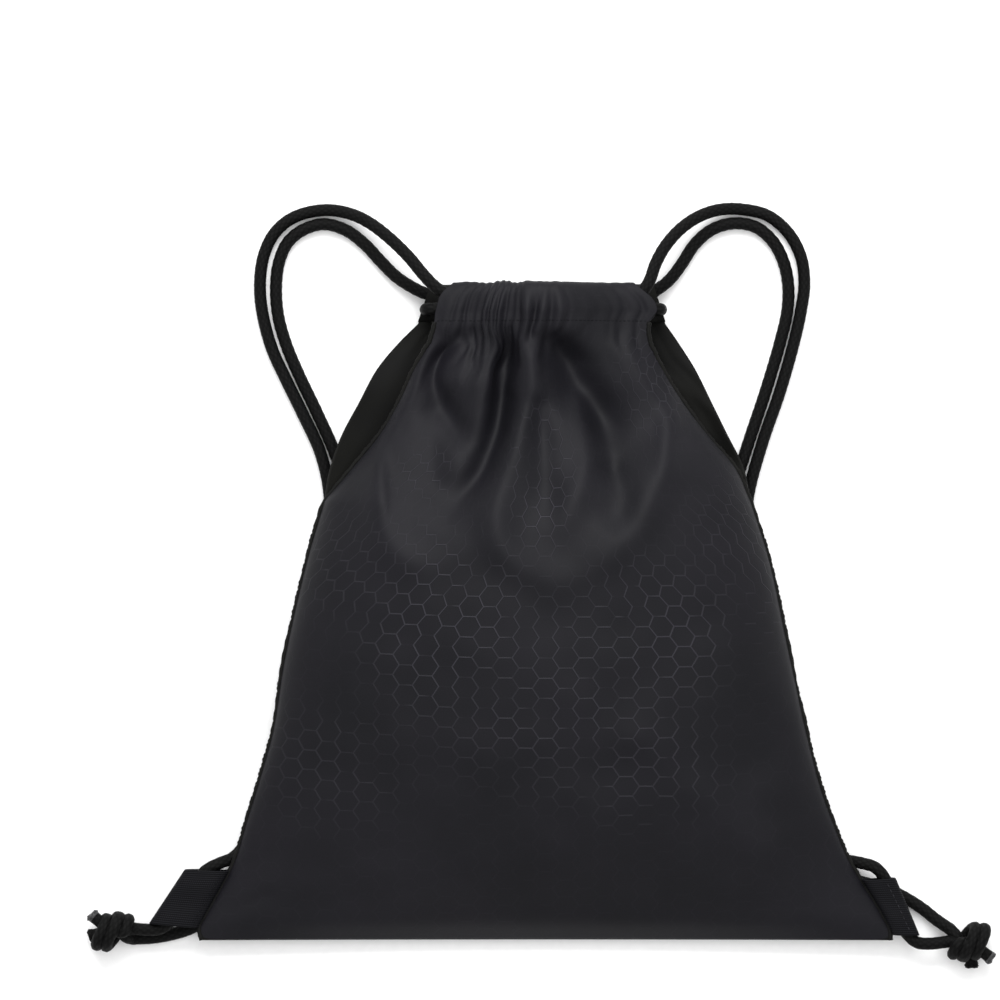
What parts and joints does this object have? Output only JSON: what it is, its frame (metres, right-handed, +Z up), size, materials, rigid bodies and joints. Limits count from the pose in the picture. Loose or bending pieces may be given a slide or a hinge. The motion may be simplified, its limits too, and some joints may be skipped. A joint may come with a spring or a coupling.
{
  "type": "motorcycle helmet bag",
  "caption": "Soft drawstring backpack for a helmet: two cloth panels, gathered hems, doubled cords and webbing tabs, shown lying on its back.",
  "frame": {"origin": "on the surface that the bag lies on, under the middle of the bag's box from tab to tab and from bottom seam to hem", "axes": "+Z up out of the front panel, +X to the right across the bag, +Y from the bottom seam towards the gathered hem"},
  "size_m": [0.585, 0.4898, 0.0815],
  "materials": {
    "embossed_cloth": "black polyester embossed with hexagons, slight satin sheen",
    "coated_cloth": "matt coated back of the same cloth",
    "webbing": "ribbed black webbing",
    "cord": "matt black braided cord"
  },
  "bodies": {
    "root": {"front_panel": "embossed_cloth", "back_panel": "coated_cloth", "front_hem": "embossed_cloth", "back_hem": "coated_cloth", "left_tab": "webbing", "right_tab": "webbing", "right_cord_in_front_hem": "cord", "right_cord_in_back_hem": "cord", "right_cord_front_strand": "cord", "right_cord_back_strand": "cord", "right_cord_bight": "cord", "left_cord_in_front_hem": "cord", "left_cord_in_back_hem": "cord", "left_cord_front_strand": "cord", "left_cord_back_strand": "cord", "left_cord_bight": "cord", "left_knot": "cord", "right_knot": "cord"}
  },
  "joints": []
}
